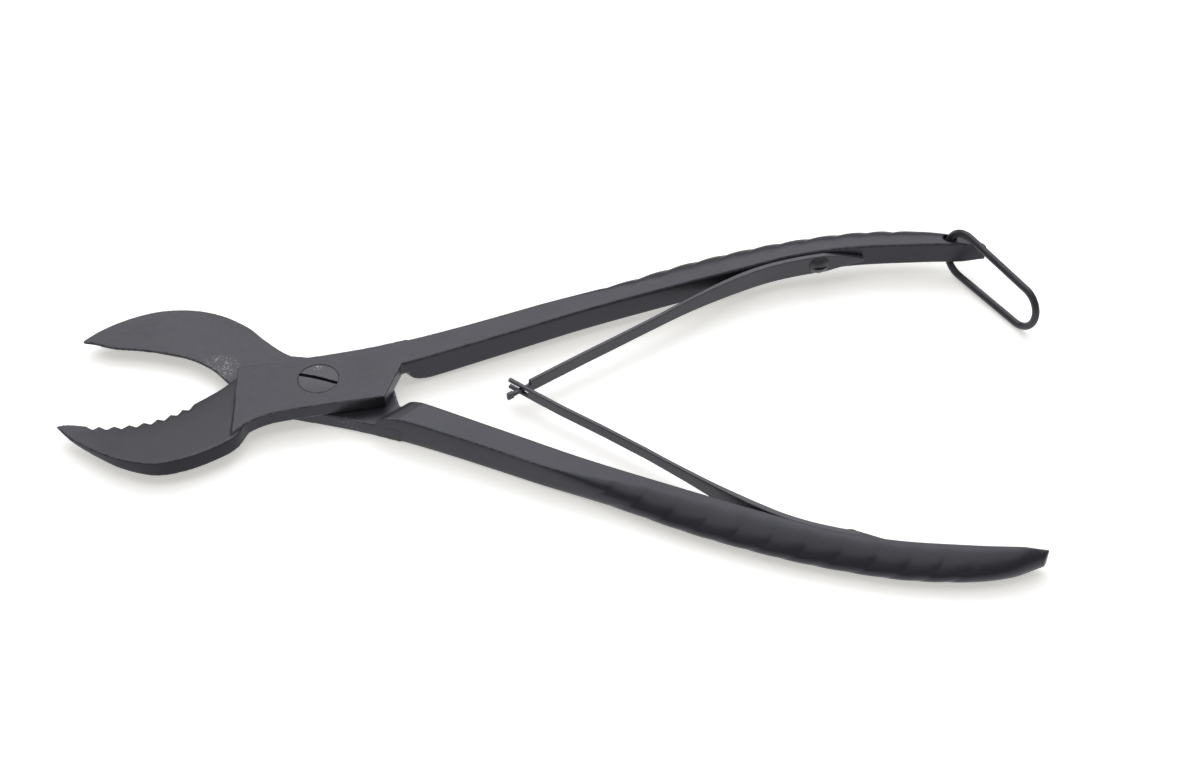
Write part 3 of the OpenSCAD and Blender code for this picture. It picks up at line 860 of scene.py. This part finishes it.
class Nodes:
    """Short calls for building one material's node tree."""

    def __init__(self, name):
        self.material = bpy.data.materials.new(name)
        self.material.use_nodes = True
        self.tree = self.material.node_tree
        self.tree.nodes.clear()
        self.shader = self.add("ShaderNodeBsdfPrincipled")
        self.output = self.add("ShaderNodeOutputMaterial")
        self.finish(self.shader.outputs[0])

    def add(self, kind, **values):
        node = self.tree.nodes.new(kind)
        for key, value in values.items():
            setattr(node, key, value)
        return node

    def link(self, a, b):
        self.tree.links.new(a, b)

    def put(self, value, socket):
        """Links a socket, or sets a plain value on it."""
        if isinstance(value, bpy.types.NodeSocket):
            self.link(value, socket)
        else:
            socket.default_value = value

    def place(self, stretch=(1, 1, 1)):
        """The point's place on the object, stretched along the axes."""
        where = self.add("ShaderNodeTexCoord")
        scale = self.add("ShaderNodeMapping")
        scale.inputs["Scale"].default_value = stretch
        self.link(where.outputs["Object"], scale.inputs["Vector"])
        return scale.outputs[0]

    def noise(self, where, per_metre, detail=4.0, rough=0.55):
        node = self.add("ShaderNodeTexNoise")
        node.inputs["Scale"].default_value = per_metre
        node.inputs["Detail"].default_value = detail
        node.inputs["Roughness"].default_value = rough
        self.link(where, node.inputs["Vector"])
        return node.outputs["Fac"]

    def patch(self, centre, radius):
        """1 at a place on the object and 0 beyond a radius from it, in metres."""
        gap = self.add("ShaderNodeVectorMath", operation="DISTANCE")
        self.link(self.place(), gap.inputs[0])
        gap.inputs[1].default_value = centre
        return self.step(gap.outputs["Value"], radius * 0.2, radius, 1.0, 0.0)

    def attribute(self, name):
        return self.add("ShaderNodeAttribute", attribute_name=name).outputs["Fac"]

    def math(self, operation, a, b=0.0, c=0.0):
        node = self.add("ShaderNodeMath", operation=operation)
        for socket, value in zip(node.inputs, (a, b, c)):
            self.put(value, socket)
        return node.outputs[0]

    def step(self, value, low, high, to_low=0.0, to_high=1.0):
        """A smooth step between low and high."""
        node = self.add("ShaderNodeMapRange", interpolation_type="SMOOTHSTEP")
        for socket, v in zip(node.inputs, (value, low, high, to_low, to_high)):
            self.put(v, socket)
        return node.outputs[0]

    def blend(self, factor, a, b):
        node = self.add("ShaderNodeMix", data_type="RGBA")
        self.put(factor, node.inputs[0])
        self.put(a, node.inputs[6])
        self.put(b, node.inputs[7])
        return node.outputs[2]

    def shaders(self, factor, a, b):
        node = self.add("ShaderNodeMixShader")
        for socket, value in zip(node.inputs, (factor, a, b)):
            self.put(value, socket)
        return node.outputs[0]

    def finish(self, surface):
        self.link(surface, self.output.inputs["Surface"])

    def bump(self, height, distance, strength):
        node = self.add("ShaderNodeBump")
        node.inputs["Strength"].default_value = strength
        node.inputs["Distance"].default_value = distance
        self.put(height, node.inputs["Height"])
        return node.outputs[0]


def flecked(n, where, marks, colour, rough):
    """Colour and roughness with bright flecks at given places, partly worn metal and partly painted glints.
    """
    for centre, radius, strength in marks:
        near = n.patch(centre, radius)
        fleck = n.math("MULTIPLY", near, n.step(n.noise(where, FLECKS, 2.0), 0.56, 0.66))
        colour = n.blend(n.math("MULTIPLY", fleck, strength), colour, GLINT_FLECK)
        rough = n.math("SUBTRACT", rough, n.math("MULTIPLY", near, 0.08))
    return colour, rough


def oxide(name, colours, worn_and_sheen, roughness=0.36, stretch=(1, 1, 1), wear_and_sheen_share=0.5, marks=()):
    """Matte black oxide on steel: faintly clouded and finely pitted, lighter on standing edges as wear and
    painted highlight, darker in hollows as painted shade, with bright flecks at given places.
    """
    n = Nodes(name)
    where = n.place()
    cloud = n.noise(where, CLOUDS, 4.0)
    mottle = n.noise(where, MOTTLES, 5.0, 0.6)
    fine = n.noise(n.place(stretch), GRAINS, 3.0, 0.65)
    tone = n.math("ADD", n.math("MULTIPLY", cloud, 0.7), n.math("MULTIPLY", mottle, 0.3))
    base = n.blend(n.step(tone, 0.36, 0.64), *colours)
    # Standing edges take the worn colour, partly as wear and partly as a painted highlight.
    edge = n.math("MULTIPLY", n.step(n.attribute("wear_and_sheen"), 0.45, 1.0), n.step(mottle, 0.35, 0.6))
    colour = n.blend(n.math("MULTIPLY", edge, wear_and_sheen_share), base, worn_and_sheen)
    rough = n.math("ADD", n.math("MULTIPLY", n.math("SUBTRACT", mottle, 0.5), 0.25), roughness)
    rough = n.math("SUBTRACT", rough, n.math("MULTIPLY", edge, 0.10))
    colour, rough = flecked(n, where, marks, colour, rough)
    # Painted shade: hollows darken the colour down to 0.7 of itself.
    hollow_shade = n.step(n.attribute("painted_shade"), 0.2, 1.0, 1.0, 0.7)
    shade = n.add("ShaderNodeMix", data_type="RGBA", blend_type="MULTIPLY")
    shade.inputs[0].default_value = 1.0
    n.link(colour, shade.inputs[6])
    n.link(hollow_shade, shade.inputs[7])
    n.link(shade.outputs[2], n.shader.inputs["Base Color"])
    n.link(rough, n.shader.inputs["Roughness"])
    n.shader.inputs["Metallic"].default_value = METALLIC
    n.shader.inputs["IOR"].default_value = GLOSS_IOR
    n.shader.inputs["Specular Tint"].default_value = GLOSS_TINT
    pits = n.math("ADD", n.math("MULTIPLY", fine, 0.6), n.math("MULTIPLY", mottle, 0.4))
    n.link(n.bump(pits, PIT_DEPTH, PIT_STRENGTH), n.shader.inputs["Normal"])
    return n.material


# Stage

# The tool rests on two corners of its lap and on the ring: a touched point and the slopes along X and Y.
FLOOR_TOUCH = (18.04, -12.38, -0.06)
FLOOR_SLOPES = (-0.00866, -0.03411)
FLOOR_SIZE = 2.0
FLOOR_COLOUR, FLOOR_ROUGHNESS = (0.80, 0.80, 0.81, 1), 0.8
# What the camera sees of the floor: a lit part, which the shadow darkens, and a glow that lifts it to white.
FLOOR_LIT, FLOOR_GLOW = (0.97, 0.98, 1.0, 1), (0.46, 0.45, 0.42, 1)
WHITE = (1, 1, 1, 1)
WORLD_STRENGTH = 0.27
# Soft lamps: name, place and size in metres, power in watts.
LAMPS = [
    ("key", (0.05, 0.72, 0.74), (1.3, 0.6), 5.8),
    ("overhead", (0.05, 0.12, 1.1), (1.5, 0.8), 3.4),
]
LAMPS_AIM = (0.05, 0, 0)


def make_floor():
    """A wide plane on which the tool rests."""
    corners = []
    for sx, sy in ((-1, -1), (1, -1), (1, 1), (-1, 1)):
        x, y = sx * FLOOR_SIZE / MM, sy * FLOOR_SIZE / MM
        z = FLOOR_TOUCH[2] + (x - FLOOR_TOUCH[0]) * FLOOR_SLOPES[0] + (y - FLOOR_TOUCH[1]) * FLOOR_SLOPES[1]
        corners.append((x * MM, y * MM, z * MM))
    floor = mesh_object("floor", (corners, [(0, 1, 2, 3)]))
    floor.data.materials.append(floor_material())


def floor_material():
    """A pale floor; as the background of the picture it shows as white and keeps the object's shadow."""
    n = Nodes("ground")
    n.shader.inputs["Base Color"].default_value = FLOOR_COLOUR
    n.shader.inputs["Roughness"].default_value = FLOOR_ROUGHNESS
    lit, glow = n.add("ShaderNodeBsdfDiffuse"), n.add("ShaderNodeEmission")
    lit.inputs["Color"].default_value = FLOOR_LIT
    glow.inputs["Color"].default_value = FLOOR_GLOW
    shown = n.add("ShaderNodeAddShader")
    n.link(lit.outputs[0], shown.inputs[0])
    n.link(glow.outputs[0], shown.inputs[1])
    rays = n.add("ShaderNodeLightPath")
    mirrored = n.add("ShaderNodeEmission")
    mirrored.inputs["Color"].default_value = WHITE
    through = n.math("MAXIMUM", rays.outputs["Is Glossy Ray"], rays.outputs["Is Transmission Ray"])
    first = n.shaders(rays.outputs["Is Camera Ray"], n.shader.outputs[0], shown.outputs[0])
    n.finish(n.shaders(through, first, mirrored.outputs[0]))
    return n.material


def make_world():
    """Plain soft light all round; the background itself is white."""
    world = bpy.data.worlds.new("studio")
    scene.world = world
    world.use_nodes = True
    tree = world.node_tree
    tree.nodes.clear()
    light = tree.nodes.new("ShaderNodeBackground")
    light.inputs["Strength"].default_value = WORLD_STRENGTH
    white = tree.nodes.new("ShaderNodeBackground")
    white.inputs["Strength"].default_value = 1.0
    for node in (light, white):
        node.inputs["Color"].default_value = WHITE
    rays = tree.nodes.new("ShaderNodeLightPath")
    both = tree.nodes.new("ShaderNodeMixShader")
    tree.links.new(rays.outputs["Is Camera Ray"], both.inputs[0])
    tree.links.new(light.outputs[0], both.inputs[1])
    tree.links.new(white.outputs[0], both.inputs[2])
    out = tree.nodes.new("ShaderNodeOutputWorld")
    tree.links.new(both.outputs[0], out.inputs["Surface"])


def area_light(name, at, size, power):
    """A soft lamp that faces the tool."""
    data = bpy.data.lights.new(name, "AREA")
    data.shape = "RECTANGLE"
    data.size, data.size_y = size
    data.energy = power
    lamp = bpy.data.objects.new(name, data)
    lamp.location = at
    lamp.rotation_euler = (Vector(LAMPS_AIM) - Vector(at)).to_track_quat("-Z", "Y").to_euler()
    scene.collection.objects.link(lamp)


def main():
    """Builds the camera, the eight pieces and the stage."""
    make_camera()
    forged = oxide("forged_oxide", FORGED_COLOURS, STEEL_WEAR_AND_SHEEN, marks=FORGING_RUBS_AND_GLINTS)
    strip = oxide("spring_oxide", STRIP_COLOURS, STEEL_WEAR_AND_SHEEN, stretch=(0.2, 0.2, 1))
    screws = oxide("screw_oxide", SCREW_COLOURS, SCREW_WEAR_AND_SHEEN, roughness=0.30, wear_and_sheen_share=0.7, marks=SCREW_HEAD_HIGHLIGHT)
    wire = oxide("wire_oxide", WIRE_COLOURS, WORN_WIRE)
    make_serrated_half(forged)
    make_smooth_half(forged)
    make_pivot_screw(screws)
    make_upper_leaf(strip)
    make_lower_leaf(strip)
    make_stud("far_stud", upper_place(), "serrated_lever", "upper_spring_screw", screws)
    make_stud("near_stud", lower_place(), "smooth_lever", "lower_spring_screw", screws)
    make_ring(wire)
    make_floor()
    make_world()
    for lamp in LAMPS:
        area_light(*lamp)


main()

scene.view_settings.view_transform = "Standard"
